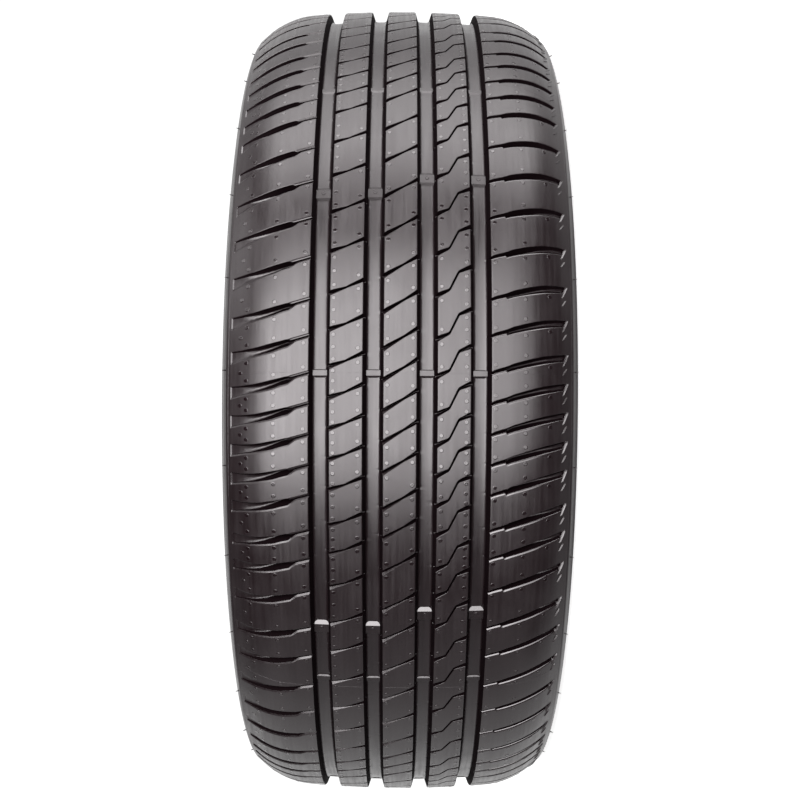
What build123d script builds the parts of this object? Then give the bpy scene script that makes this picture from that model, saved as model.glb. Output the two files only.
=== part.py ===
from build123d import *
import math
import os

# A passenger car tyre with a five-rib asymmetric summer tread, lying on one sidewall.
# Millimetres. The origin is the wheel's centre, and the wheel spins about Z.
# Across the tread, a grows from the upper shoulder (negative) to the lower one, so z = -a.
# Round the tread, s is measured along the crown from the point at -Y, growing towards +X.

# Overall section
overall_diameter = 634.3
section_width = 231.0
seat_diameter = 436.6
bead_width = 190.5

# Tread curve: a nearly flat crown, a round shoulder and a straight run to the tread edge
crown_arc_radius = 850.0
crown_land = 11.3
shoulder_arc_radius = 62.0
shoulder_edge_slope = 40.0
tread_width = 217.0

# Sidewall, rim protector and bead
buttress_height = 6.4
sidewall_bands = 4
protector_height = 26.0
protector_rise = 1.4
protector_width = 4.0
flange_lip_height = 19.0
flange_lip_width = 9.0
flange_seat_height = 11.0
heel_bevel = 4.0
bead_land = 12.0
toe_height = 15.0
toe_lead = 3.0

# Walls round the air space
tread_base = 7.65
sidewall_wall = 9.0
shoulder_wall = 16.0
liner_half_width = 66.0

# Circumferential grooves, in pairs at the same distance each side of the crown
inner_groove_centre = 16.75
outer_groove_centre = 50.25
groove_top_width = 12.9
groove_floor_width = 8.3
groove_depth = 7.5

# Pitches: short, medium and long blocks, mixed so that the tread stays quiet
short_pitch = 19.3
medium_pitch = 23.35
long_pitch = 27.7
pitch_order = (
    "SSMLLLLMLMSMSSSSMMLLLLLSSSSMSL"
    "MSSMLLMSSMMLLLMSSMLLMMSSSLLMMLSSMLLMSMSSLLMMLSSMLLMSSLL"
)
first_pitch = -342.2

# Shoulder grooves, which are blind at both ends and one to a pitch on each shoulder.
# A place is how far round the tread the groove's middle lies from its pitch line.
groove_inner_margin = 1.5
groove_edge_margin = 2.7
groove_inner_depth = 5.6
groove_edge_depth = 3.2
upper_inner_place = -12.2
upper_inner_width = 4.6
upper_edge_place = -20.3
upper_edge_width = 7.5
lower_inner_place = -4.1
lower_inner_width = 4.0
lower_edge_place = 3.6
lower_edge_width = 5.2

# Wear bars, in rows of four across the groove floors, each row at the middle of its pitch
wear_bar_height = 1.6
wear_bar_length = 10.5
wear_bar_pitches = (7, 20, 34, 48, 62, 77)
wear_bar_stagger = 11.75
wear_bar_root = 0.6

crown_radius = overall_diameter / 2
seat_radius = seat_diameter / 2
half_width = section_width / 2
bead_half = bead_width / 2
tread_edge = tread_width / 2
groove_centres = (inner_groove_centre, outer_groove_centre)
pitch_lengths = {"S": short_pitch, "M": medium_pitch, "L": long_pitch}

crown_half_width = outer_groove_centre + groove_top_width / 2 + crown_land
crown_end_slope = math.asin(crown_half_width / crown_arc_radius)
crown_end_drop = crown_arc_radius * (1 - math.cos(crown_end_slope))
shoulder_end_slope = math.radians(shoulder_edge_slope)
shoulder_centre = crown_half_width - shoulder_arc_radius * math.sin(crown_end_slope)
shoulder_end = shoulder_centre + shoulder_arc_radius * math.sin(shoulder_end_slope)


def shoulder_drop(slope):
    """How far the shoulder arc has fallen below the crown where it has this slope."""
    return crown_end_drop + shoulder_arc_radius * (math.cos(crown_end_slope) - math.cos(slope))


def tread_radius(a):
    """The tread curve's distance from the spin axis at a place across the tread."""
    a = abs(a)
    if a <= crown_half_width:
        return crown_radius - crown_arc_radius + math.sqrt(crown_arc_radius**2 - a**2)
    if a <= shoulder_end:
        return crown_radius - shoulder_drop(math.asin((a - shoulder_centre) / shoulder_arc_radius))
    straight = (a - shoulder_end) * math.tan(shoulder_end_slope)
    return crown_radius - shoulder_drop(shoulder_end_slope) - straight


def groove_floor(centre):
    """The distance of a circumferential groove's floor from the spin axis."""
    return tread_radius(centre) - groove_depth


def tread_points():
    """Half of the tread's section, from the innermost groove to the tread edge."""
    points = []
    top, bottom = groove_top_width / 2, groove_floor_width / 2
    for centre in groove_centres:
        points.append((centre - top, tread_radius(centre - top)))
        points.append((centre - bottom, groove_floor(centre)))
        points.append((centre + bottom, groove_floor(centre)))
        points.append((centre + top, tread_radius(centre + top)))
    for a in (crown_half_width, (crown_half_width + tread_edge) / 2, tread_edge):
        points.append((a, tread_radius(a)))
    return points


def sidewall_points():
    """The sidewall's section from the buttress to the rim protector, as bands of one arc."""
    top_radius = tread_radius(tread_edge) - buttress_height
    foot_radius = seat_radius + protector_height + protector_width
    arc = ThreePointArc(
        ((tread_edge + half_width) / 2, top_radius),
        (half_width, (top_radius + foot_radius) / 2),
        (half_width - 2 * protector_rise, foot_radius),
    )
    places = [arc @ (band / sidewall_bands) for band in range(sidewall_bands + 1)]
    return [(place.X, place.Y) for place in places]


def bead_points():
    """The bead's section: protector, flange seat, heel, cylindrical land and toe."""
    heel = bead_half - heel_bevel
    toe = heel - bead_land
    return [
        (half_width - protector_rise, seat_radius + protector_height),
        (bead_half + flange_lip_width, seat_radius + flange_lip_height),
        (bead_half, seat_radius + flange_seat_height),
        (bead_half, seat_radius + heel_bevel),
        (heel, seat_radius),
        (toe, seat_radius),
        (toe + toe_lead, seat_radius + toe_height),
    ]


def liner_points():
    """The inner liner's section from the widest part of the air space to the crown."""
    liner_radius = crown_radius - groove_depth - tread_base
    foot_radius = seat_radius + protector_height + protector_width
    shoulder = (crown_half_width + tread_edge) / 2
    return [
        (half_width - sidewall_wall, (tread_radius(tread_edge) + foot_radius) / 2),
        (shoulder, tread_radius(shoulder) - shoulder_wall),
        (liner_half_width, liner_radius),
    ]


def carcass():
    """The whole section turned about the spin axis, with its circumferential grooves."""
    half = tread_points() + sidewall_points() + bead_points() + liner_points()
    lower = [Vector(radius, 0, -a) for a, radius in half]
    upper = [Vector(radius, 0, a) for a, radius in reversed(half)]
    return revolve(make_face(Polyline(*lower, *upper, close=True)), Axis.Z)


def pitch_turns():
    """Each pitch's turn about the spin axis, in radians, with the pitches closing the circle."""
    stretch = 2 * math.pi / sum(pitch_lengths[pitch] for pitch in pitch_order)
    turns = []
    turn = first_pitch / crown_radius
    for pitch in pitch_order:
        turns.append(turn)
        turn += stretch * pitch_lengths[pitch]
    return turns


def tread_plane(turn, a, radius, tilt):
    """A plane in the tread: X across it, Y round it and Z outward, tilted to follow the shoulder."""
    outward = Vector(math.sin(turn), -math.cos(turn), 0)
    across = Vector(0, 0, -1)
    return Plane(
        origin=outward * radius + across * a,
        x_dir=across * math.cos(tilt) + outward * math.sin(tilt),
        z_dir=outward * math.cos(tilt) - across * math.sin(tilt),
    )


def shoulder_groove(turn, side, inner_place, inner_width, edge_place, edge_width):
    """The rubber that one shoulder groove takes away, over a flat floor that rises to the edge."""
    inner = crown_half_width + groove_inner_margin
    edge = tread_edge - groove_edge_margin
    inner_floor = tread_radius(inner) - groove_inner_depth
    edge_floor = tread_radius(edge) - groove_edge_depth
    tilt = math.atan2(edge_floor - inner_floor, edge - inner)
    length = (edge - inner) / math.cos(tilt)
    floor = tread_plane(turn, side * inner, inner_floor, side * tilt)
    outline = Polyline(
        (0, inner_place - inner_width / 2),
        (side * length, edge_place - edge_width / 2),
        (side * length, edge_place + edge_width / 2),
        (0, inner_place + inner_width / 2),
        close=True,
    )
    return extrude(floor * make_face(outline), length)


def shoulder_grooves():
    """The grooves of both shoulders, one a pitch."""
    grooves = []
    for turn in pitch_turns():
        grooves.append(
            shoulder_groove(
                turn, -1, upper_inner_place, upper_inner_width, upper_edge_place, upper_edge_width
            )
        )
        grooves.append(
            shoulder_groove(
                turn, 1, lower_inner_place, lower_inner_width, lower_edge_place, lower_edge_width
            )
        )
    return grooves


def wear_bar(centre, turn):
    """One bar across a groove, rooted in the groove's floor and walls."""
    floor = groove_floor(abs(centre))
    wall_slope = (groove_top_width - groove_floor_width) / 2 / groove_depth
    reach = groove_floor_width / 2 + wear_bar_height * wall_slope + wear_bar_root
    corners = [
        Vector(floor - wear_bar_root, 0, -centre - reach),
        Vector(floor - wear_bar_root, 0, -centre + reach),
        Vector(floor + wear_bar_height, 0, -centre + reach),
        Vector(floor + wear_bar_height, 0, -centre - reach),
    ]
    arc = math.degrees(wear_bar_length / crown_radius)
    bar = revolve(make_face(Polyline(*corners, close=True)), Axis.Z, revolution_arc=arc)
    return bar.rotate(Axis.Z, math.degrees(turn) - 90 - arc / 2)


def wear_bars():
    """The rows of wear bars, with the lower two grooves' bars a little further round."""
    turns = pitch_turns()
    bars = []
    for index in wear_bar_pitches:
        middle = (turns[index] + turns[index + 1]) / 2
        for centre in groove_centres:
            bars.append(wear_bar(-centre, middle))
            bars.append(wear_bar(centre, middle + wear_bar_stagger / crown_radius))
    return bars


tyre = carcass() + wear_bars() - shoulder_grooves()
tyre.label = "tyre"

os.makedirs("parts", exist_ok=True)
export_step(tyre, "parts/tyre.step")
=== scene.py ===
import math

import bpy
import numpy as np
from mathutils import Matrix, Vector


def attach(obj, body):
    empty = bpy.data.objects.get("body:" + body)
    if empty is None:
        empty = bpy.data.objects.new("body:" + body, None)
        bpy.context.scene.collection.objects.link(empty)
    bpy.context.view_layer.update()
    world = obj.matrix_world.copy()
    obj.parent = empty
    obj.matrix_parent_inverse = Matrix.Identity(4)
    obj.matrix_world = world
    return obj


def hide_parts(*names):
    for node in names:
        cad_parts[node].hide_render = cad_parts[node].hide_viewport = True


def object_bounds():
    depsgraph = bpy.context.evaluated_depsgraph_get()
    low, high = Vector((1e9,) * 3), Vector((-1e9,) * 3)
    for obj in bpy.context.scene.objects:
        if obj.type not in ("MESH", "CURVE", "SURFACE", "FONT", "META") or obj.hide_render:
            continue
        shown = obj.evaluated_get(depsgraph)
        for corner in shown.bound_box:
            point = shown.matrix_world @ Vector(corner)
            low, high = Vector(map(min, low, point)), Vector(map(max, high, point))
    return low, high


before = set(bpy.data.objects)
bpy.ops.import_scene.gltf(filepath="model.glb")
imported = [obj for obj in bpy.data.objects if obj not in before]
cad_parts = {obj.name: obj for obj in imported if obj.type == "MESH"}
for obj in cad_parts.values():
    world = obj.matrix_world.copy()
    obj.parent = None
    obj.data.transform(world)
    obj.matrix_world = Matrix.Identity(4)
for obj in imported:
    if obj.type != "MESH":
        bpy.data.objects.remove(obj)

cad_low, cad_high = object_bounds()

# The dressed tyre, in millimetres until a mesh is made.
# Across the tread, a grows from the upper shoulder (negative) to the lower one, so z = -a.
# Round the tread, s is measured along the crown from the point at -Y, growing towards +X.
# Depth is measured into the rubber, square to the tread's curve.

# Section of the tread
pitch_radius = 317.15
crown_radius = 316.75
crown_arc_radius = 850.0
crown_half_width = 68.0
shoulder_arc_radius = 62.0
shoulder_edge_slope = math.radians(40.0)
tread_edge = 108.5
tread_thickness = 8.8
# The corner at the tread's edge, as steps in from the edge and down, and places under the shoulders
edge_corner = [(0.06, 0.0), (0.01, 0.05), (0.0, 0.5), (0.0, 1.8)]
underside_places = (88.0, 68.0)

# Circumferential grooves
groove_centres = (-50.25, -16.75, 16.75, 50.25)
groove_half_top = 6.45
groove_half_floor = 4.15
groove_depth = 7.5
groove_edge_round = 0.45
groove_fillet = 1.5
# How far a round's middle lies from the faces beside it, as a share of its radius
round_share = 0.293
# The steps of a round, as shares of it in from the wall and down from the top
round_steps = [(0.0, 1.0), (round_share, round_share), (1.0, 0.0)]
# The steps of a floor's fillet, as shares of it out from the wall and up from the floor
fillet_steps = [(1.0, 0.0), (0.33, 0.27), (0.0, 0.73)]

# Pitches: short, medium and long blocks, and the parts that a block's top has along it
pitch_lengths = {"S": 19.3, "M": 23.35, "L": 27.7}
block_parts = {"S": 3, "M": 3, "L": 4}
pitch_order = (
    "SSMLLLLMLMSMSSSSMMLLLLLSSSSMSL"
    "MSSMLLMSSMMLLLMSSMLLMMSSSLLMMLSSMLLMSMSSLLMMLSSMLLMSSLL"
)
first_pitch = -342.2

# Slits across the three middle ribs and grooves across the shoulders, as places across the tread
# with the upper and lower edge's distance from the pitch line, the width of the shelf along the
# upper edge, the depth, how far each wall leans over its height, and the chamfer along the lower
# edge: its width, its drop and its profile, as shares of both
rib_edge_round = 0.32
shoulder_edge_round = 0.4
rib_slit_lean = 0.36
flat_chamfer = [(0.07, 0.075), (0.93, 0.925), (1.0, 1.0)]
rounded_chamfer = [(0.3, 0.098), (0.6, 0.312), (0.85, 0.633), (1.0, 1.0)]
# The upper edge's profile from the wall outwards: shares of its round and of its shelf, out and down
plain_edge = [(0.0, 0.0, 1.0, 0.0), (round_share, 0.0, round_share, 0.0)]
shelf_edge = [
    (0.0, 0.0, 1.0, 0.55), (0.07, 0.05, 0.62, 0.72), (0.2, 0.71, 0.4, 0.65), (0.29, 0.73, 0.296, 0.65),
    (0.75, 1.06, 0.03, 0.035),
]
rib_2_slit = {
    "upper": [(-44.1, -2.4), (-34.0, -0.05), (-32.0, 1.1), (-23.4, 5.6)],
    "lower": [(-44.1, -4.5), (-34.5, -1.35), (-33.5, -0.95), (-23.4, 2.8)],
    "depth": [(-44.1, 4.6), (-37.0, 6.0), (-30.0, 6.0), (-23.4, 4.6)],
    "chamfer": [(-44.1, 1.5), (-33.5, 0.3), (-30.0, 0.12)],
    "chamfer_drop": [(-44.1, 1.65), (-33.5, 0.32), (-30.0, 0.13)],
    "chamfer_profile": flat_chamfer,
}
rib_3_slit = {
    "upper": [(-10.6, 8.7), (2.0, 15.35), (10.2, 21.2)],
    "lower": [(-10.6, 6.5), (1.5, 13.65), (2.5, 14.25), (10.2, 18.2)],
    "depth": [(-10.6, 4.6), (-3.0, 6.0), (4.0, 6.0), (10.2, 4.6)],
    "chamfer": [(-10.6, 1.5), (2.0, 0.3), (5.0, 0.12)],
    "chamfer_drop": [(-10.6, 1.65), (2.0, 0.32), (5.0, 0.13)],
    "chamfer_profile": flat_chamfer,
}
rib_4_slit = {
    "upper": [(22.8, -31.5), (29.9, -29.0), (30.5, -28.2), (35.6, -17.6), (36.3, -16.7), (43.2, -12.9)],
    "lower": [(22.8, -35.0), (30.2, -30.6), (31.1, -29.6), (36.2, -19.2), (36.9, -18.2), (43.2, -16.0)],
    "depth": [(22.8, 4.6), (29.0, 6.0), (38.0, 6.0), (43.2, 4.6)],
    "chamfer": [(0.0, 0.32)],
    "chamfer_drop": [(0.0, 0.21)],
    "chamfer_profile": rounded_chamfer,
}
upper_shoulder_groove = {
    "upper": [(-106.0, -16.5), (-100.0, -16.2), (-90.0, -15.0), (-80.0, -12.7), (-75.0, -11.6),
              (-70.0, -10.3), (-68.3, -10.8), (-65.0, -9.9), (-57.0, -7.6)],
    "shelf": [(-69.5, 0.0), (-68.0, 0.8)],
    "lower": [(-106.0, -24.0), (-100.0, -22.2), (-90.0, -20.1), (-80.0, -18.0), (-75.0, -16.2),
              (-69.5, -14.6), (-65.0, -10.8), (-57.0, -8.5)],
    "depth": [(-106.91, 0.0), (-106.55, 0.75), (-100.0, 1.5), (-92.0, 3.0), (-80.0, 5.0), (-71.0, 6.3),
              (-66.5, 4.4), (-64.0, 3.6), (-56.0, 3.4)],
    "upper_lean": [(-106.0, 0.6), (-100.0, 0.8), (-93.0, 1.2), (-86.0, 1.2), (-80.0, 1.0), (-74.0, 0.7),
                   (-70.0, 0.5), (-67.0, 0.2)],
    "lower_lean": [(-106.0, 0.3), (-93.0, 0.6), (-87.0, 1.3), (-80.0, 2.6), (-76.0, 3.2), (-71.0, 3.0),
                   (-66.0, 0.2)],
    "chamfer": [(-69.5, 1.1), (-66.0, 1.25)],
    "chamfer_drop": [(-69.5, 0.44), (-66.0, 0.98)],
    "chamfer_profile": flat_chamfer,
}
lower_shoulder_groove = {
    "upper": [(56.4, -6.7), (60.0, -5.2), (65.0, -3.8), (67.5, -2.9), (70.0, -1.7), (80.0, 1.2),
              (90.0, 3.8), (100.0, 5.6), (104.0, 6.1)],
    "lower": [(56.4, -8.2), (60.0, -6.9), (65.0, -5.6), (65.8, -5.4), (66.4, -6.6), (70.0, -5.4),
              (80.0, -2.9), (90.0, -0.7), (100.0, 1.0), (104.0, 1.5)],
    "depth": [(56.0, 3.4), (63.0, 3.6), (65.8, 4.2), (66.4, 5.4), (71.0, 6.8), (80.0, 6.1),
              (90.0, 4.0), (96.0, 2.7), (102.0, 1.9), (103.75, 1.75), (104.05, 0.0)],
    "upper_lean": [(56.4, 0.4), (66.0, 0.6), (70.0, 1.2), (80.0, 1.6), (97.0, 1.6), (104.0, 1.3)],
    "lower_lean": [(56.4, 0.3), (66.0, 0.4), (70.0, 1.2)],
    "chamfer": [(80.0, 1.5), (90.0, 1.3), (96.0, 1.0), (104.0, 0.6)],
    "chamfer_drop": [(80.0, 0.98), (90.0, 0.85), (96.0, 0.65), (104.0, 0.39)],
    "chamfer_profile": rounded_chamfer,
    "polished": True,
}
# The slant of the lower shoulder grooves' blind ends, and how fully it counts at places across
lower_end_slant = 0.41
slanted_end = [(100.0, 0.0), (103.0, 1.0), (105.4, 1.0), (107.4, 0.0)]

# Where painted shade and polish go: a groove wall's straight part by its depth shares, the least depth of
# a slit whose walls get painted shade, the shoulder grooves' narrow inner ends, their outer ends, and the
# tread's edge
straight_wall = (0.05, 0.9)
least_painted_shade_depth = 0.7
narrow_end = (56.0, 65.9)
polished_end = (-106.91, -106.5)
painted_shade_end = (103.7, 104.1)
edge_wall_margin = 0.1

# Wear bars with their marks, and ridges and fine lines where the mould's segments meet
wear_bar_pitches = (7, 20, 34, 48, 62, 77)
wear_bar_stagger = 11.75
wear_bar_height = 1.6
wear_bar_length = 10.5
wear_bar_ramp = 2.6
wear_mark_radius = 1.3
wear_mark_height = 0.3
bar_foot = 1.5
bar_end_root = 0.1
bar_wall_root = 0.4
bar_floor_root = 0.6
parting_count = 9
parting_first = 16.7
parting_ridge_length = 5.6
parting_ridge_height = 1.0
parting_ramp = 0.7
parting_stretches = [
    (-104.5, -57.3, upper_shoulder_groove), (-43.2, -23.9, rib_2_slit), (-9.7, 9.7, rib_3_slit),
    (23.9, 43.2, rib_4_slit), (57.3, 102.0, lower_shoulder_groove),
]
parting_line_width = 0.34
parting_line_crest = 0.3
parting_line_height = 0.03
parting_line_root = 0.15
parting_line_step = 0.6
parting_line_gap = 0.9
parting_line_least_steps = 3

# Vent marks: pairs at both ends of a block, as places across the tread and the distances from the
# slit and from the next slit's chamfer; rows of three along ribs 2 and 4, this share of a pitch apart;
# and single marks near each edge of the tread
vent_radius = 1.4
vent_height = 0.1
vent_pairs = [
    (upper_shoulder_groove, (-60.0, -78.6, -96.3), 3.2, 2.0), (rib_2_slit, (-26.2,), 3.4, 3.1),
    (rib_3_slit, (-7.9, 7.9), 3.2, 3.0), (rib_4_slit, (25.7,), 3.2, 2.9),
    (lower_shoulder_groove, (59.2, 78.0), 3.3, 1.8),
]
vent_threes = [(rib_2_slit, -41.5), (rib_4_slit, 41.2)]
vent_three_spread = 0.33
upper_edge_vent = -100.3
lower_edge_vent = 93.8
lower_edge_vent_gap = 3.0
lower_vents_from = 65.0
# A mark's rim and top, as shares of its radius and height, and its root under the surface
stud_steps = [(1.0, 0.4), (0.86, 1.0), (0.6, 0.9)]
stud_root = 0.25
stud_sides = 10

# Vent hairs, the first this share of their spacing round, with places across, radii and half
# thicknesses from root to tip
hair_count = 30
hair_first = 0.3
hair_steps = [(110.6, 289.9, 0.45), (112.4, 290.5, 0.4), (113.1, 290.8, 0.25)]

# Strokes along the lower tread edge: both ends across and round from the pitch line, the height at
# shares of the length, and the section's places across
stroke_ends = [((102.3, -2.4), (105.8, 6.2)), ((102.1, -8.1), (104.9, -3.0))]
stroke_heights = [(0.0, 0.05), (0.15, 0.55), (0.5, 0.68), (0.85, 0.64), (1.0, 0.1)]
stroke_section = (-0.95, -0.05, 0.1, 0.5)
stroke_root = 0.3

# Casing, as places across and radii, and its rings as radii, widths and heights
casing_steps = 288
sidewall_half_width = 115.2
sidewall_middle = 268.7
buttress_foot = (101.0, 291.4)
sidewall_top = (111.9, 288.2)
sidewall_foot = (112.7, 249.0)
liner_top = (97.0, 287.5)
sidewall_rings = [(273.5, 1.6, 0.25), (270.7, 1.6, 0.2), (262.5, 1.4, 0.25), (251.4, 1.4, 0.35)]
bead_rings = [(241.2, 0.9, 0.3), (239.6, 0.9, 0.3)]
ring_steps = (-0.5, -0.28, 0.0, 0.28, 0.5)
ring_half = 0.49
sidewall_finish_radius = 281.0

# Serrations of the sidewalls, as radii, places across and heights, and the section's places round
serration_count = 480
serration_steps = [
    (259.4, 114.85, -0.1), (258.4, 114.75, 0.42), (254.4, 114.05, 0.42), (253.4, 113.85, -0.1),
]
serration_section = (-1.1, -0.25, 0.25, 1.1)
serration_root = 0.4

# Rubber: the streaks' scale round, along and out from the spin axis, the patches' and the grain's
# scale, the share of streaks and patches in its tone, and the range of their noise
streak_scale = (6.0, 420.0, 300.0)
patch_scale = 38.0
grain_scale = 2600.0
streak_share = 0.55
patch_share = 0.45
noise_range = (0.38, 0.62)
bump_distance = 0.0002
gloss_tint = (1.0, 0.958, 0.972, 1.0)
rubber_tones = (0.0062, 0.0029, 0.0037), (0.0084, 0.0046, 0.0056)
# Painted shade tones: far darker than the rubber's own tones, for walls and floors that should read as
# shaded
painted_shade_tones = (0.0022, 0.0006, 0.0011), (0.003, 0.001, 0.0015)

# Stage, in metres: the camera, the floor and the lights, which have a position, a target, a height,
# a width and a radiance
camera_distance = 1.1444
camera_roll = 0.006
camera_lens = 60.57
camera_sensor = 36.0
floor_reach = 6.0
floor_tone = (0.86, 0.86, 0.86, 1)
floor_roughness = 0.9
floor_glow = 0.85
lights = {
    "front": ((0.4, -2.0, 0.6), (0.4, 0.0, 0.6), 2.24, 1.8, 6.05),
    "front_low": ((-1.01, -2.0, 0.6), (-1.01, 0.0, 0.6), 0.58, 1.8, 1.0),
    "front_core": ((-0.1, -1.98, 0.85), (-0.1, 0.0, 0.85), 0.9, 0.22, 4.0),
    "left": ((0.13, -1.45, 1.265), (-0.02, -0.3, 0.085), 1.45, 0.36, 7.4),
    "side": ((0.85, -0.35, 1.9), (0.1, -0.35, 0.1), 1.0, 0.9, 1.5),
    "right": ((0.42, -2.0, -0.91), (0.42, 0.0, -0.91), 2.08, 1.22, 3.2),
    "top": ((1.6, -0.5, 0.0), (0.0, -0.5, 0.0), 1.3, 2.4, 2.6),
    "top_core": ((1.58, -0.63, 0.0), (0.0, -0.63, 0.0), 0.43, 2.4, 2.0),
    "low": ((-1.5, -0.4, 0.0), (0.0, -0.4, 0.0), 1.2, 2.0, 0.26),
}

crown_end_slope = math.asin(crown_half_width / crown_arc_radius)
crown_end_drop = crown_arc_radius * (1 - math.cos(crown_end_slope))
shoulder_centre = crown_half_width - shoulder_arc_radius * math.sin(crown_end_slope)
shoulder_end = shoulder_centre + shoulder_arc_radius * math.sin(shoulder_edge_slope)
groove_wall_slope = (groove_half_top - groove_half_floor) / groove_depth
circumference = 2 * math.pi * pitch_radius


def section(a):
    """The tread curve's distance from the spin axis and its slope at places across the tread."""
    a = np.asarray(a, float)
    x = np.abs(a)
    crown = np.arcsin(np.minimum(x, crown_half_width) / crown_arc_radius)
    reach = np.clip(x - shoulder_centre, 0, shoulder_arc_radius * math.sin(shoulder_edge_slope))
    slope = np.where(x <= crown_half_width, crown, np.arcsin(reach / shoulder_arc_radius))
    crown_drop = crown_arc_radius * (1 - np.cos(crown))
    shoulder_drop = crown_end_drop + shoulder_arc_radius * (math.cos(crown_end_slope) - np.cos(slope))
    straight = np.maximum(x - shoulder_end, 0) * math.tan(shoulder_edge_slope)
    drop = np.where(x <= crown_half_width, crown_drop, shoulder_drop + straight)
    return crown_radius - drop, np.sign(a) * slope


def turned(across, radius, s):
    """Points in metres from a place in the section and a distance round the tread."""
    turn = np.asarray(s, float) / pitch_radius
    across, radius, turn = np.broadcast_arrays(across, radius, turn)
    return np.stack([radius * np.sin(turn), -radius * np.cos(turn), -across], axis=-1) / 1000


def place(a, s, depth):
    """Points in metres from places across and round the tread and depths below its curve."""
    radius, slope = section(a)
    return turned(a - depth * np.sin(slope), radius - depth * np.cos(slope), s)


def along(points, a):
    """The value that a line of (place, value) points has at places across the tread."""
    places = [p for p, _ in points]
    values = [v for _, v in points]
    return np.interp(a, places, values)


def pitch_places():
    """The distance of each pitch line round the tread, with the pitches closing the circle."""
    stretch = circumference / sum(pitch_lengths[pitch] for pitch in pitch_order)
    places = [first_pitch]
    for pitch in pitch_order:
        places.append(places[-1] + stretch * pitch_lengths[pitch])
    return places


pitches = pitch_places()
parting_places = [parting_first + i * circumference / parting_count for i in range(parting_count)]


def grid_faces(rows, columns):
    """Quads that close a grid of points on itself both ways."""
    row = np.arange(rows)[:, None]
    column = np.arange(columns)[None, :]
    next_row = (row + 1) % rows
    next_column = (column + 1) % columns
    corners = [
        row * columns + column,
        row * columns + next_column,
        next_row * columns + next_column,
        next_row * columns + column,
    ]
    return np.stack(np.broadcast_arrays(*corners), axis=-1).reshape(-1, 4)


def face_weighted_normals(points, quads):
    """Each point's normal, led by its largest faces, so that flat faces stay flat beside small rounds."""
    corners = points[quads]
    normals = np.cross(corners[:, 2] - corners[:, 0], corners[:, 3] - corners[:, 1])
    total = np.zeros_like(points)
    for corner in range(4):
        np.add.at(total, quads[:, corner], normals)
    length = np.linalg.norm(total, axis=1, keepdims=True)
    return total / np.maximum(length, 1e-12)


def add_piece(name, points, faces, material, normals=None, smooth=True, finishes=()):
    """A mesh piece of the tyre that stands for the tyre's node, with some faces in other finishes."""
    mesh = bpy.data.meshes.new(name)
    mesh.from_pydata(points.tolist(), [], [list(map(int, face)) for face in faces])
    mesh.update()
    mesh.polygons.foreach_set("use_smooth", [smooth] * len(mesh.polygons))
    if normals is not None:
        mesh.normals_split_custom_set_from_vertices(normals.tolist())
    mesh.materials.append(material)
    finish_of_face = np.zeros(len(mesh.polygons), dtype=np.int32)
    for index, (finish, chosen) in enumerate(finishes, 1):
        mesh.materials.append(finish)
        finish_of_face[chosen] = index
    mesh.polygons.foreach_set("material_index", finish_of_face)
    piece = bpy.data.objects.new(name, mesh)
    bpy.context.scene.collection.objects.link(piece)
    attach(piece, "root")
    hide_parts("tyre")
    return piece


def wall_columns(edge, out):
    """A groove wall's columns from its floor to the rib's top: depth share, inset, edge and side."""
    fillet = groove_fillet
    rounding = groove_edge_round
    steps = [(1 - up * fillet / groove_depth, -outward * fillet) for outward, up in fillet_steps]
    steps += [(down * rounding / groove_depth, inward * rounding) for inward, down in round_steps]
    return [{"share": share, "inset": inset, "edge": edge, "out": out} for share, inset in steps]


def top_columns(places):
    """Columns on a rib's top."""
    return [{"top": a} for a in places]


def fixed_columns(spots):
    """Columns at one place and depth all the way round."""
    return [{"at": a, "depth": depth} for a, depth in spots]


def leaning(slit, wall, a):
    """How far a slit's upper or lower wall leans, from its own line or as a share of the slit's width."""
    if wall + "_lean" in slit:
        return along(slit[wall + "_lean"], a)
    return rib_slit_lean * (along(slit["upper"], a) - along(slit["lower"], a))


def shelf_width(slit, a):
    """The width of the shelf that sets a slit's upper edge back, where it has one."""
    return along(slit.get("shelf", [(0.0, 0.0)]), a)


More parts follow.
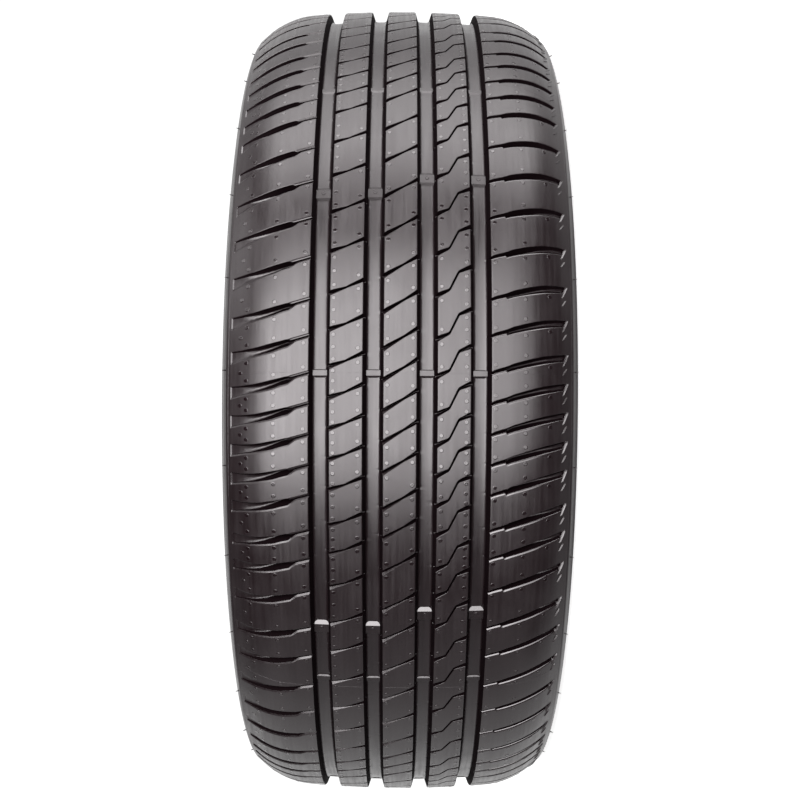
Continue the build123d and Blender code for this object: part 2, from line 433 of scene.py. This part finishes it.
def band_points(columns, slit, slit_range, edge_round, end_slant):
    """Points of one rib or shoulder: rows round the tread, columns across it.

    Also what each row starts, and the slit's depth at each column.

    Each pitch has rows on the slit's floor, its walls, its upper edge with its round and shelf, the
    block's top and the chamfer along the next slit. An end slant leans the columns near a shoulder
    groove's blind end."""
    low, high = slit_range
    reference = np.array([c.get("top", c.get("edge", c.get("at"))) for c in columns])
    reference = np.clip(reference, low, high)
    upper = along(slit["upper"], reference)
    lower = along(slit["lower"], reference)
    depth = along(slit["depth"], reference)
    round_depth = np.minimum(edge_round, depth)
    shelf = shelf_width(slit, reference)
    edge_profile = shelf_edge if "shelf" in slit else plain_edge
    chamfer = along(slit["chamfer"], reference)
    chamfer_drop = np.minimum(along(slit["chamfer_drop"], reference), depth)
    upper_lean = leaning(slit, "upper", reference)
    lower_lean = leaning(slit, "lower", reference)
    nothing = np.zeros_like(depth)
    half_width = (upper - lower) / 2
    rows_s = []
    rows_depth = []
    rows_lean = []
    kinds = []

    def row(kind, s, base, lean):
        kinds.append(kind)
        rows_s.append(s)
        rows_depth.append(base)
        rows_lean.append(lean)

    for i, pitch in enumerate(pitch_order):
        here, following = pitches[i], pitches[i + 1]
        row("floor", here + lower + lower_lean, depth, lower_lean - half_width)
        row("wall", here + upper - upper_lean, depth, half_width - upper_lean)
        for round_out, shelf_out, round_down, shelf_down in edge_profile:
            out = round_out * edge_round + shelf_out * shelf
            row("top", here + upper + out, round_down * round_depth + shelf_down * shelf, half_width)
        start = here + upper + edge_round + shelf
        end = following + lower - chamfer
        parts = block_parts[pitch]
        for part in range(parts + 1):
            kind = "chamfer" if part == parts else "top"
            row(kind, start + (end - start) * part / parts, nothing, half_width * (1 - 2 * part / parts))
        for share, drop in slit["chamfer_profile"]:
            kind = "wall" if share == 1.0 else "chamfer"
            row(kind, following + lower - (1 - share) * chamfer, drop * chamfer_drop, -half_width)
    s = np.array(rows_s)
    base = np.array(rows_depth)
    lean = end_slant * np.array(rows_lean) * along(slanted_end, np.abs(reference))

    across = np.zeros_like(s)
    down = np.zeros_like(s)
    for j, column in enumerate(columns):
        if "at" in column:
            across[:, j] = column["at"]
            down[:, j] = column["depth"]
        elif "top" in column:
            across[:, j] = column["top"] + lean[:, j]
            down[:, j] = base[:, j]
        else:
            d = base[:, j] + (groove_depth - base[:, j]) * column["share"]
            across[:, j] = column["edge"] + column["out"] * (d * groove_wall_slope - column["inset"])
            down[:, j] = d
    return place(across, s, down), np.array(kinds), depth


def band_finishes(columns, kinds, depth, polish):
    """A band's faces with painted shade and its polished faces.

    Painted shade, near-black rubber that stands for the shade in recesses, goes on the walls of its
    grooves and slits, the floors of a shoulder groove's narrow end and of the lower shoulder's groove
    ends, and the wall at the tread's edge. Polished are the floors of the upper shoulder's groove ends
    and, where asked for, the chamfers."""

    def spans(passed):
        """The spans between two columns that both pass a test."""
        passed = np.array(passed)
        return (passed & np.roll(passed, -1))[None, :]

    top, foot = straight_wall
    groove_walls = spans([top < c.get("share", 0.0) < foot for c in columns])
    edge_wall = spans([abs(c.get("at", 0.0)) > tread_edge - edge_wall_margin for c in columns])
    cut = spans([
        "at" not in c and c.get("share", 0.0) < foot and d > least_painted_shade_depth
        for c, d in zip(columns, depth)
    ])
    inner, outer = narrow_end
    narrow = spans([inner < abs(c.get("top", c.get("edge", 0.0))) < outer for c in columns])
    bright_ends, painted_shade_ends = [
        spans([low <= c.get("top", 0.0) <= high for c in columns])
        for low, high in (polished_end, painted_shade_end)
    ]
    walls, floors, chamfers = [(kinds == kind)[:, None] for kind in ("wall", "floor", "chamfer")]
    # painted shade: recess walls, narrow and lower groove-end floors and the edge wall are made near-black
    painted_shade = walls & cut | floors & cut & narrow | floors & painted_shade_ends | groove_walls | edge_wall
    polished = floors & bright_ends
    if polish:
        polished = polished | chamfers & cut & ~painted_shade
    return np.flatnonzero(painted_shade), np.flatnonzero(polished)


def add_band(name, columns, hidden, slit, slit_range, edge_round, material, end_slant=0.0):
    """One rib or shoulder as a closed ring. The hidden column spans don't lead the normals."""
    grid, kinds, depth = band_points(columns, slit, slit_range, edge_round, end_slant)
    rows, count = grid.shape[:2]
    points = grid.reshape(-1, 3)
    faces = grid_faces(rows, count)
    span = np.arange(len(faces)) % count
    shown = faces[~np.isin(span, hidden)]
    # The painted shade faces take the near-black rubber in place of real shade
    painted_shade, polished = band_finishes(columns, kinds, depth, slit.get("polished", False))
    finishes = [(painted_shade_rubber, painted_shade), (polished_rubber, polished)]
    normals = face_weighted_normals(points, shown)
    return add_piece(name, points, faces, material, normals, True, finishes)


def add_rib(name, left, right, places, slit, material):
    """One of the three middle ribs, from the middle of one groove to the middle of the next."""
    left_edge, right_edge = left + groove_half_top, right - groove_half_top
    columns = fixed_columns([(left, tread_thickness), (left, groove_depth)])
    columns += wall_columns(left_edge, -1)
    columns += top_columns(places)
    columns += wall_columns(right_edge, 1)[::-1]
    columns += fixed_columns([(right, groove_depth), (right, tread_thickness)])
    last = len(columns) - 1
    hidden = [0, last - 1, last]
    return add_band(name, columns, hidden, slit, (left_edge, right_edge), rib_edge_round, material)


def add_shoulder(name, side, places, slit, material, end_slant=0.0):
    """One shoulder, from the middle of its groove to the tread's edge."""
    groove = groove_centres[-1] * side
    inner_edge = groove + side * groove_half_top
    edge = side * tread_edge
    columns = fixed_columns([(groove, tread_thickness), (groove, groove_depth)])
    columns += wall_columns(inner_edge, -side)
    columns += top_columns(places)
    columns += fixed_columns([(edge - inward * side, depth) for inward, depth in edge_corner])
    columns += fixed_columns([(edge, tread_thickness)])
    columns += fixed_columns([(side * a, tread_thickness) for a in underside_places])
    last = len(columns) - 1
    hidden = [0, last - 2, last - 1, last]
    if side < 0:
        columns = columns[::-1]
        hidden = [0, 1, last - 1, last]
    slit_range = sorted((inner_edge, edge))
    return add_band(name, columns, hidden, slit, slit_range, shoulder_edge_round, material, end_slant)


def rounded(corners):
    """A line of (across, radius, rounding) corners with each corner rounded by its own distance."""
    points = []
    for i, (a, r, rounding) in enumerate(corners):
        here = np.array([a, r])
        if rounding == 0 or i == 0 or i == len(corners) - 1:
            points.append(here)
            continue
        before = np.array(corners[i - 1][:2]) - here
        after = np.array(corners[i + 1][:2]) - here
        start = here + before / np.linalg.norm(before) * rounding
        end = here + after / np.linalg.norm(after) * rounding
        for t in (0, 0.25, 0.5, 0.75, 1):
            points.append((1 - t) ** 2 * start + 2 * t * (1 - t) * here + t * t * end)
    return points


def arc_through(first, middle, last, steps):
    """Points of the arc through three points."""
    (ax, ay), (bx, by), (cx, cy) = first, middle, last
    d = 2 * (ax * (by - cy) + bx * (cy - ay) + cx * (ay - by))
    ux = ((ax**2 + ay**2) * (by - cy) + (bx**2 + by**2) * (cy - ay) + (cx**2 + cy**2) * (ay - by)) / d
    uy = ((ax**2 + ay**2) * (cx - bx) + (bx**2 + by**2) * (ax - cx) + (cx**2 + cy**2) * (bx - ax)) / d
    radius = math.hypot(ax - ux, ay - uy)
    start = math.atan2(ay - uy, ax - ux)
    end = math.atan2(cy - uy, cx - ux)
    turns = [start + (end - start) * i / steps for i in range(steps + 1)]
    return [np.array([ux + radius * math.cos(t), uy + radius * math.sin(t)]) for t in turns]


def with_rings(points, rings):
    """A line of section points with small round rings raised out of it at some radii."""
    dense = []
    for start, end in zip(points[:-1], points[1:]):
        cuts = [0.0]
        for radius, width, _ in rings:
            for offset in ring_steps:
                wanted = radius + offset * width
                if min(start[1], end[1]) < wanted < max(start[1], end[1]):
                    cuts.append((wanted - start[1]) / (end[1] - start[1]))
        dense += [start + (end - start) * t for t in sorted(cuts)]
    dense.append(points[-1])
    raised = []
    for i, point in enumerate(dense):
        before, after = dense[max(i - 1, 0)], dense[min(i + 1, len(dense) - 1)]
        tangent = (after - before) / np.linalg.norm(after - before)
        normal = np.array([-tangent[1], tangent[0]])
        lift = 0.0
        for radius, width, height in rings:
            offset = (point[1] - radius) / width
            if abs(offset) < ring_half:
                lift = max(lift, height * math.cos(math.pi * offset))
        raised.append(point + normal * lift)
    return raised


def casing_half():
    """Half of the casing's section: under the tread, down the sidewall, round the bead, up the liner."""
    under = [np.array([a, r]) for a, r in ((30.0, 307.4), (60.0, 305.6), (88.0, 299.0), buttress_foot)]
    buttress = rounded([
        (*buttress_foot, 0), (106.2, 292.3, 0), (108.5, 294.1, 0.5), (110.0, 293.0, 1.2),
        (*sidewall_top, 0),
    ])[1:-1]
    wall = arc_through(sidewall_top, (sidewall_half_width, sidewall_middle), sidewall_foot, steps=20)
    wall = with_rings(wall, sidewall_rings)
    bead = rounded([
        (*sidewall_foot, 0), (112.7, 247.6, 0.8), (114.4, 245.4, 1.0), (113.2, 243.3, 1.0),
        (104.25, 237.3, 3.0), (95.25, 229.3, 3.0), (95.25, 222.3, 2.5), (91.25, 218.3, 1.6),
        (79.25, 218.3, 1.2), (79.6, 221.5, 1.0), (82.25, 233.3, 5.0), (96.0, 249.0, 0),
    ])[1:-1]
    bead = with_rings(bead, bead_rings)
    liner = arc_through((94.0, 246.5), (106.0, 268.5), liner_top, steps=12)
    crown = rounded([(*liner_top, 0), (88.5, 295.0, 6.0), (66.0, 301.6, 10.0), (30.0, 302.3, 0)])[1:]
    return under + buttress + wall + bead + liner + crown


def add_casing(material):
    """The casing: both sidewalls, beads and the inner liner, turned about the spin axis."""
    half = casing_half()
    loop = half + [np.array([-a, r]) for a, r in reversed(half)]
    across = np.array([p[0] for p in loop])
    radius = np.array([p[1] for p in loop])
    s = np.arange(casing_steps) * circumference / casing_steps
    points = turned(across[None, :], radius[None, :], s[:, None]).reshape(-1, 3)
    faces = grid_faces(casing_steps, len(loop))
    inside = radius < sidewall_finish_radius
    inside = np.tile(inside & np.roll(inside, -1), casing_steps)
    finishes = [(sidewall_rubber, np.flatnonzero(inside))]
    normals = face_weighted_normals(points, faces)
    return add_piece("casing", points, faces, material, normals, True, finishes)


def joined(parts):
    """Many small closed meshes as one list of points and one of faces."""
    points = []
    faces = []
    total = 0
    for part_points, part_faces in parts:
        points.append(part_points)
        faces += [[corner + total for corner in face] for face in part_faces]
        total += len(part_points)
    return np.concatenate(points), faces


def disc(a, s, depth, radius, height):
    """A low round stud with a flat top and a rounded rim, rooted just under the surface."""
    sides = stud_sides
    turns = np.arange(sides) * 2 * math.pi / sides
    rings = [(radius, stud_root)] + [(out * radius, -up * height) for out, up in stud_steps]
    points = [place(a + r * np.cos(turns), s + r * np.sin(turns), depth + d) for r, d in rings]
    for d in (rings[-1][1], stud_root):
        points.append(place(np.array([a]), np.array([s]), np.array([depth + d])))
    faces = []
    for ring in range(len(rings) - 1):
        for i in range(sides):
            j = (i + 1) % sides
            base, upper = ring * sides, (ring + 1) * sides
            faces.append([base + i, base + j, upper + j, upper + i])
    top = (len(rings) - 1) * sides
    centre = len(rings) * sides
    for i in range(sides):
        j = (i + 1) % sides
        faces.append([top + i, top + j, centre])
        faces.append([j, i, centre + 1])
    return np.concatenate(points), faces


def loft(rows):
    """A closed bar from rows of four points each, with its two ends capped."""
    points = np.concatenate(rows)
    faces = [[3, 2, 1, 0]]
    for i in range(len(rows) - 1):
        for j in range(4):
            k = (j + 1) % 4
            faces.append([4 * i + j, 4 * i + k, 4 * i + 4 + k, 4 * i + 4 + j])
    last = 4 * (len(rows) - 1)
    faces.append([last, last + 1, last + 2, last + 3])
    return points, faces


# The face of a groove bar that is its ramp
ramp_face = 9


def groove_bar(centre, s, length, height, ramp_length):
    """A bar across a groove's floor, rooted in the floor and both walls, with a ramp at its upper end."""
    top = groove_depth - height
    end = groove_depth + bar_end_root
    root = groove_depth + bar_floor_root
    half = length / 2
    rows = []
    for offset, depth in ((-half, end), (bar_foot - half, top), (half - ramp_length, top), (half, end)):
        reach = groove_half_floor + (groove_depth - depth) * groove_wall_slope + bar_wall_root
        across = np.array([centre - reach, centre + reach, centre + reach, centre - reach])
        rows.append(place(across, np.full(4, s + offset), np.array([depth, depth, root, root])))
    return loft(rows)


def groove_bars():
    """Wear bars with a small round mark each, and the ridges at the mould's parting lines.

    Also the wear bars' ramps, as the places of their faces among all the faces."""
    bars = []
    ramps = []
    total = 0
    for index in wear_bar_pitches:
        middle = (pitches[index] + pitches[index + 1]) / 2
        for centre in groove_centres:
            s = middle if centre < 0 else middle + wear_bar_stagger
            bar = groove_bar(centre, s, wear_bar_length, wear_bar_height, wear_bar_ramp)
            mark = disc(centre, s, groove_depth - wear_bar_height, wear_mark_radius, wear_mark_height)
            bars += [bar, mark]
            ramps.append(total + ramp_face)
            total += len(bar[1]) + len(mark[1])
    for s in parting_places:
        for centre in groove_centres:
            bars.append(groove_bar(centre, s, parting_ridge_length, parting_ridge_height, parting_ramp))
    return bars, ramps


def block_end(slit, a):
    """How far from its pitch line the block below a slit ends, at the chamfer's outer edge."""
    return along(slit["lower"], a) - along(slit["chamfer"], a)


def block_start(slit, a):
    """How far from its pitch line the block above a slit starts, past the slit's shelf."""
    return along(slit["upper"], a) + shelf_width(slit, a)


def slit_spans(slit, a):
    """Where a slit's openings, with shelves and chamfers, lie round the tread at a place across it."""
    return [(pitch + block_end(slit, a), pitch + block_start(slit, a)) for pitch in pitches]


def parting_lines():
    """Fine raised lines across the ribs where the mould's segments meet, broken at each slit."""
    gap = parting_line_gap
    lines = []
    for s in parting_places:
        for start, end, slit in parting_stretches:
            run = []
            for a in np.arange(start, end, parting_line_step):
                spans = slit_spans(slit, a)
                shifts = (0, -circumference)
                blocked = any(lo - gap < s + t < hi + gap for lo, hi in spans for t in shifts)
                if not blocked:
                    run.append(a)
                ended = blocked or a + parting_line_step >= end
                if ended and len(run) > parting_line_least_steps:
                    lines.append(parting_line(run, s))
                if blocked:
                    run = []
    return lines


def parting_line(run, s):
    """One stretch of a parting line."""
    half = parting_line_width / 2
    crest = parting_line_crest * half
    root, top = parting_line_root, -parting_line_height
    rows = []
    for a in run:
        offsets = np.array([-half, -crest, crest, half])
        rows.append(place(np.full(4, a), s + offsets, np.array([root, top, top, root]))[::-1])
    return loft(rows)


def vent_places():
    """Where each vent mark sits: its place across the tread and round it."""
    spots = []
    for here, following in zip(pitches[:-1], pitches[1:]):
        for slit, places, from_slit, from_chamfer in vent_pairs:
            for a in places:
                spots.append((a, here + block_start(slit, a) + from_slit))
                spots.append((a, following + block_end(slit, a) - from_chamfer))
        for slit, a in vent_threes:
            middle = (here + following + along(slit["upper"], a) + block_end(slit, a)) / 2
            spread = vent_three_spread * (following - here)
            spots += [(a, middle - spread), (a, middle), (a, middle + spread)]
        groove = upper_shoulder_groove
        ends = along(groove["upper"], upper_edge_vent) + along(groove["lower"], upper_edge_vent)
        spots.append((upper_edge_vent, (here + following + ends) / 2))
        groove_edge = following + along(lower_shoulder_groove["lower"], lower_edge_vent)
        spots.append((lower_edge_vent, groove_edge - lower_edge_vent_gap))
    return spots


def vent_hairs():
    """The trimmed stubs of rubber hairs, in a row just below each tread edge."""
    hairs = []
    corner_turns = np.arange(4) * math.pi / 2
    for side in (-1, 1):
        for i in range(hair_count):
            s = (i + hair_first) * circumference / hair_count
            rows = []
            for a, radius, thickness in hair_steps:
                radii = radius + thickness * np.cos(corner_turns)
                row = turned(side * a, radii, s + thickness * np.sin(corner_turns))
                rows.append(row if side > 0 else row[::-1])
            hairs.append(loft(rows))
    return hairs


def edge_strokes():
    """Short slanted ridges along the lower tread edge, two to a pitch, the first past a groove's end."""
    strokes = []
    for pitch in pitches[:-1]:
        for (a1, s1), (a2, s2) in stroke_ends:
            rows = []
            for t, height in stroke_heights:
                a, s = a1 + (a2 - a1) * t, pitch + s1 + (s2 - s1) * t
                down = np.array([stroke_root, -height, -height, stroke_root])
                rows.append(place(a + np.array(stroke_section), np.full(4, s), down))
            strokes.append(loft(rows))
    return strokes


def sidewall_serrations():
    """A band of fine radial ridges round each sidewall."""
    ridges = []
    turns = np.arange(serration_count) * circumference / serration_count
    for side in (-1, 1):
        for s in turns:
            rows = []
            for radius, a, height in serration_steps:
                foot, top = a - serration_root, a + height
                across = side * np.array([foot, top, top, foot])
                row = turned(across, radius, s + np.array(serration_section))
                rows.append(row if side < 0 else row[::-1])
            ridges.append(loft(rows))
    return ridges


def node(tree, kind, **inputs):
    """A shader node with some of its inputs set or linked, by name, or by number after an underscore."""
    made = tree.nodes.new(kind)
    for name, value in inputs.items():
        number = name[1:]
        socket = made.inputs[int(number) if number.isdigit() else name.replace("_", " ")]
        if isinstance(value, bpy.types.NodeSocket):
            tree.links.new(value, socket)
        else:
            socket.default_value = value
    return made


def math_node(tree, operation, first, second=0.0):
    """The result of a maths operation on one or two values."""
    made = node(tree, "ShaderNodeMath", _0=first, _1=second)
    made.operation = operation
    return made.outputs[0]


def product(tree, first, second):
    """Two values multiplied."""
    return math_node(tree, "MULTIPLY", first, second)


def ramp(tree, value, low, high, first, last):
    """A value mapped from one range to another."""
    made = node(tree, "ShaderNodeMapRange", Value=value, From_Min=low, From_Max=high)
    made.inputs["To Min"].default_value = first
    made.inputs["To Max"].default_value = last
    return made.outputs["Result"]


def noise(tree, where, scale, detail):
    """The value of a noise at a place."""
    return node(tree, "ShaderNodeTexNoise", Vector=where, Scale=scale, Detail=detail).outputs[0]


def rubber(name, roughness, grain, streaks=0.0, index=1.5, sheen=0.9, tones=rubber_tones):
    """Moulded rubber: fine grain, faint streaks round the tyre and a patchy sheen."""
    material = bpy.data.materials.new(name)
    material.use_nodes = True
    tree = material.node_tree
    shader = tree.nodes["Principled BSDF"]
    shader.inputs["IOR"].default_value = index
    shader.inputs["Specular IOR Level"].default_value = sheen
    shader.inputs["Specular Tint"].default_value = gloss_tint
    place_in_frame = node(tree, "ShaderNodeTexCoord").outputs["Object"]
    axes = node(tree, "ShaderNodeSeparateXYZ", Vector=place_in_frame)
    x, y, z = axes.outputs
    turn = math_node(tree, "ARCTAN2", x, product(tree, y, -1.0))
    out = math_node(tree, "SQRT", math_node(tree, "ADD", product(tree, x, x), product(tree, y, y)))
    around, upward, outward = [
        product(tree, value, scale) for value, scale in zip((turn, z, out), streak_scale)
    ]
    stretched = node(tree, "ShaderNodeCombineXYZ", X=around, Y=upward, Z=outward).outputs[0]
    streak = noise(tree, stretched, 1.0, 3.0)
    patches = noise(tree, place_in_frame, patch_scale, 4.0)
    fine = noise(tree, place_in_frame, grain_scale, 2.0)
    both = math_node(tree, "ADD", product(tree, patches, patch_share), product(tree, streak, streak_share))
    tone = node(tree, "ShaderNodeMix")
    tone.data_type = "RGBA"
    dark, light = tones
    tone.inputs["A"].default_value = (*dark, 1.0)
    tone.inputs["B"].default_value = (*light, 1.0)
    tree.links.new(ramp(tree, both, *noise_range, 0.0, 1.0), tone.inputs["Factor"])
    tree.links.new(tone.outputs["Result"], shader.inputs["Base Color"])
    tree.links.new(ramp(tree, both, *noise_range, *roughness), shader.inputs["Roughness"])
    grain_bump = node(tree, "ShaderNodeBump", Strength=grain, Distance=bump_distance, Height=fine)
    streak_bump = node(tree, "ShaderNodeBump", Strength=streaks, Distance=bump_distance, Height=streak,
                       Normal=grain_bump.outputs[0])
    tree.links.new(streak_bump.outputs[0], shader.inputs["Normal"])
    return material


tread_rubber = rubber("tread_rubber", (0.28, 0.4), grain=0.25, streaks=0.25)
casing_rubber = rubber("casing_rubber", (0.3, 0.38), grain=0.2, streaks=0.1, sheen=0.8)
sidewall_rubber = rubber("sidewall_rubber", (0.5, 0.62), grain=0.25, streaks=0.1, sheen=0.5)
# Painted shade: groove and slit walls get near-black tones and almost no gloss, so they read as shaded
# under any light
painted_shade_rubber = rubber("painted_shade_rubber", (0.75, 0.85), grain=0.1, sheen=0.05, tones=painted_shade_tones)
vent_rubber = rubber("vent_rubber", (0.11, 0.15), grain=0.05, index=1.58)
lower_vent_rubber = rubber("lower_vent_rubber", (0.13, 0.18), grain=0.05)
polished_rubber = rubber("polished_rubber", (0.2, 0.26), grain=0.05, index=1.65)
stroke_rubber = rubber("stroke_rubber", (0.32, 0.38), grain=0.05, index=1.7)

add_shoulder(
    "upper_shoulder", -1,
    (-57.6, -59.5, -62.0, -64.0, -65.2, -66.5, -68.0, -69.5, -71.5, -75.0, -79.0, -83.0, -87.0, -91.0,
     -95.0, -97.5, -100.0, -103.5, -106.5, -106.55, -106.89, -106.91),
    upper_shoulder_groove, tread_rubber,
)
add_rib(
    "rib_2", *groove_centres[0:2],
    (-42.0, -39.0, -36.5, -35.0, -34.0, -33.0, -32.0, -30.0, -27.0, -24.8),
    rib_2_slit, tread_rubber,
)
add_rib(
    "rib_3", *groove_centres[1:3],
    (-8.5, -5.5, -2.5, 0.0, 1.4, 2.2, 3.0, 4.5, 6.5, 8.8),
    rib_3_slit, tread_rubber,
)
add_rib(
    "rib_4", *groove_centres[2:4],
    (24.6, 27.0, 29.0, 30.0, 30.6, 31.3, 33.4, 35.5, 36.2, 36.9, 38.0, 40.0, 42.2),
    rib_4_slit, tread_rubber,
)
add_shoulder(
    "lower_shoulder", 1,
    (57.6, 59.5, 62.0, 64.0, 65.2, 65.8, 66.4, 67.5, 69.0, 71.0, 74.0, 78.0, 82.0, 86.0, 90.0, 94.0,
     98.0, 100.5, 102.0, 103.7, 103.75, 104.05, 104.1, 105.4, 106.5, 107.4),
    lower_shoulder_groove, tread_rubber, lower_end_slant,
)
add_casing(casing_rubber)
bars, bar_ramps = groove_bars()
bar_finishes = [(polished_rubber, bar_ramps)]
add_piece("groove_bars", *joined(bars), tread_rubber, smooth=False, finishes=bar_finishes)
vents = [(a, disc(a, s, 0.0, vent_radius, vent_height)) for a, s in vent_places()]
upper_vents = [mark for a, mark in vents if a < lower_vents_from]
lower_vents = [mark for a, mark in vents if a > lower_vents_from]
add_piece("vent_marks", *joined(upper_vents), vent_rubber)
add_piece("lower_vent_marks", *joined(lower_vents), lower_vent_rubber)
add_piece("vent_hairs", *joined(vent_hairs()), casing_rubber)
add_piece("parting_lines", *joined(parting_lines()), tread_rubber, smooth=False)
strokes = edge_strokes()
add_piece("edge_strokes", *joined(strokes[0::2]), stroke_rubber, smooth=False)
add_piece("short_edge_strokes", *joined(strokes[1::2]), tread_rubber, smooth=False)
add_piece("sidewall_serrations", *joined(sidewall_serrations()), sidewall_rubber, smooth=False)


def add_floor():
    """A plain pale floor under the tyre, which the rubber doesn't mirror and no light stops at."""
    material = bpy.data.materials.new("floor")
    material.use_nodes = True
    shader = material.node_tree.nodes["Principled BSDF"]
    shader.inputs["Base Color"].default_value = floor_tone
    shader.inputs["Roughness"].default_value = floor_roughness
    shader.inputs["Emission Color"].default_value = (1, 1, 1, 1)
    shader.inputs["Emission Strength"].default_value = floor_glow
    mesh = bpy.data.meshes.new("floor")
    reach = floor_reach
    corners = [(-reach, -reach, 0), (reach, -reach, 0), (reach, reach, 0), (-reach, reach, 0)]
    mesh.from_pydata(corners, [], [[0, 1, 2, 3]])
    mesh.materials.append(material)
    floor = bpy.data.objects.new("floor", mesh)
    floor.location.z = cad_low.z
    floor.visible_glossy = False
    floor.visible_diffuse = False
    floor.visible_shadow = False
    bpy.context.scene.collection.objects.link(floor)


def add_light(name, position, target, tall, wide, radiance):
    """A soft rectangular light aimed at a point, wide along the spin axis."""
    data = bpy.data.lights.new(name, "AREA")
    data.shape = "RECTANGLE"
    data.size = tall
    data.size_y = wide
    data.energy = radiance * math.pi * tall * wide
    light = bpy.data.objects.new(name, data)
    light.location = position
    aim = Vector(target) - Vector(position)
    light.rotation_mode = "QUATERNION"
    light.rotation_quaternion = aim.to_track_quat("-Z", "Y")
    bpy.context.scene.collection.objects.link(light)


def add_camera():
    """A camera square to the tread, with the picture's top towards +X, as in the photograph."""
    data = bpy.data.cameras.new("camera")
    data.sensor_width = camera_sensor
    data.lens = camera_lens
    data.clip_start = 0.01
    data.clip_end = 50.0
    camera = bpy.data.objects.new("camera", data)
    axes = Matrix(((0, 1, 0), (0, 0, -1), (-1, 0, 0))).to_4x4()
    stand = Matrix.Translation((0, -camera_distance, 0))
    camera.matrix_world = stand @ axes @ Matrix.Rotation(camera_roll, 4, "Z")
    bpy.context.scene.collection.objects.link(camera)
    bpy.context.scene.camera = camera


def add_world():
    """White behind the tyre, fading to a dim room in front of it, with dark screens at the sides."""
    world = bpy.data.worlds.new("studio")
    world.use_nodes = True
    tree = world.node_tree
    background = tree.nodes["Background"]
    direction = node(tree, "ShaderNodeTexCoord").outputs["Generated"]
    axes = node(tree, "ShaderNodeSeparateXYZ", Vector=direction)
    x, y, z = axes.outputs
    right_outer = ramp(tree, z, -0.64, -0.56, 0.0, 1.0)
    right_inner = ramp(tree, z, -0.12, -0.02, 1.0, 0.0)
    right_level = ramp(tree, math_node(tree, "ABSOLUTE", x), 0.15, 0.3, 1.0, 0.0)
    right = product(tree, product(tree, right_outer, right_inner), right_level)
    left = product(tree, ramp(tree, z, 0.5, 0.62, 0.0, 0.7), ramp(tree, x, 0.1, 0.4, 1.0, 0.3))
    screens = math_node(tree, "MAXIMUM", product(tree, right, 0.96), left)
    open_part = math_node(tree, "SUBTRACT", 1.0, screens)
    room = product(tree, ramp(tree, y, -0.1, 0.8, 0.05, 1.1), open_part)
    seen = node(tree, "ShaderNodeLightPath").outputs["Is Camera Ray"]
    tree.links.new(math_node(tree, "MAXIMUM", room, seen), background.inputs["Strength"])
    background.inputs["Color"].default_value = (1, 1, 1, 1)
    bpy.context.scene.world = world


add_floor()
add_camera()
add_world()
for name, light in lights.items():
    add_light(name, *light)
bpy.context.scene.view_settings.view_transform = "Standard"
